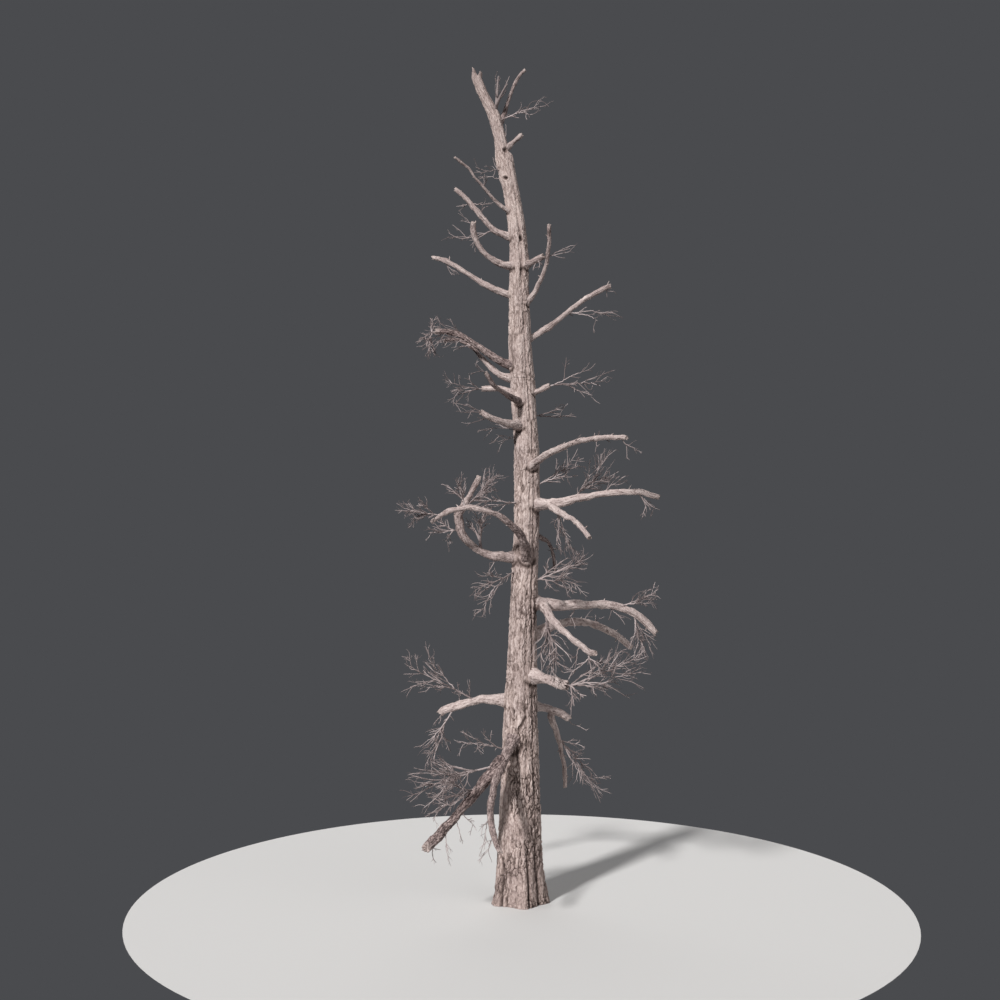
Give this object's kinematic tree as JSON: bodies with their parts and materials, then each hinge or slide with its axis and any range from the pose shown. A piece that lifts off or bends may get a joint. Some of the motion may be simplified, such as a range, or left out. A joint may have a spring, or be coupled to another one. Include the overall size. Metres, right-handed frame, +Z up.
{
  "type": "dead tree",
  "caption": "Bare standing dead tree: tapering furrowed trunk with a splintered top and a flared flat-cut foot, curved broken boughs on all sides and sprays of thin leafless twigs.",
  "frame": {"origin": "middle of the flat cut under the trunk, at ground level", "axes": "+Z up along the trunk, -Y towards the side that is seen from the front, -X towards the left limbs"},
  "size_m": [3.1, 2.5821, 10.0135],
  "materials": {
    "bark": "weathered grey-beige bark in long upright plates with dark brown furrows, matt",
    "limb_wood": "bleached pinkish-grey wood with fine cracks along the limb, matt",
    "twig_wood": "dry grey-brown twigs, matt"
  },
  "bodies": {
    "root": {"trunk": "bark", "front_bough": "limb_wood", "front_bough_arm": "limb_wood", "left_bough_1": "limb_wood", "left_bough_10": "limb_wood", "left_bough_11": "limb_wood", "left_bough_12": "limb_wood", "left_bough_2": "limb_wood", "left_bough_2_rising": "limb_wood", "left_bough_3": "limb_wood", "left_bough_4": "limb_wood", "left_bough_6": "limb_wood", "left_bough_7": "limb_wood", "left_bough_8": "limb_wood", "left_bough_9": "limb_wood", "right_bough_1": "limb_wood", "right_bough_10": "limb_wood", "right_bough_1_hanging": "limb_wood", "right_bough_2": "limb_wood", "right_bough_3": "limb_wood", "right_bough_4": "limb_wood", "right_bough_4_fork": "limb_wood", "right_bough_5": "limb_wood", "right_bough_6": "limb_wood", "right_bough_6_fork": "limb_wood", "right_bough_7": "limb_wood", "right_bough_9": "limb_wood", "top_bough": "limb_wood", "twigs_crown": "twig_wood", "twigs_crown_right": "twig_wood", "twigs_front": "twig_wood", "twigs_front_arm": "twig_wood", "twigs_front_arm_upper": "twig_wood", "twigs_left_11": "twig_wood", "twigs_left_11_low": "twig_wood", "twigs_left_1_lower": "twig_wood", "twigs_left_1_upper": "twig_wood", "twigs_left_2_inner": "twig_wood", "twigs_left_2_outer": "twig_wood", "twigs_left_2_rising": "twig_wood", "twigs_left_3": "twig_wood", "twigs_left_3_upright": "twig_wood", "twigs_left_5": "twig_wood", "twigs_left_8": "twig_wood", "twigs_right_1": "twig_wood", "twigs_right_2": "twig_wood", "twigs_right_4_fork": "twig_wood", "twigs_right_4_lower": "twig_wood", "twigs_right_4_under": "twig_wood", "twigs_right_4_upper": "twig_wood", "twigs_right_6": "twig_wood", "twigs_right_6_under": "twig_wood", "twigs_right_6_upper": "twig_wood", "twigs_right_8": "twig_wood", "twigs_right_9": "twig_wood", "twigs_trunk_left": "twig_wood", "twigs_trunk_left_mid": "twig_wood", "twigs_trunk_right": "twig_wood", "twigs_trunk_right_low": "twig_wood", "twigs_trunk_right_mid": "twig_wood"}
  },
  "joints": []
}
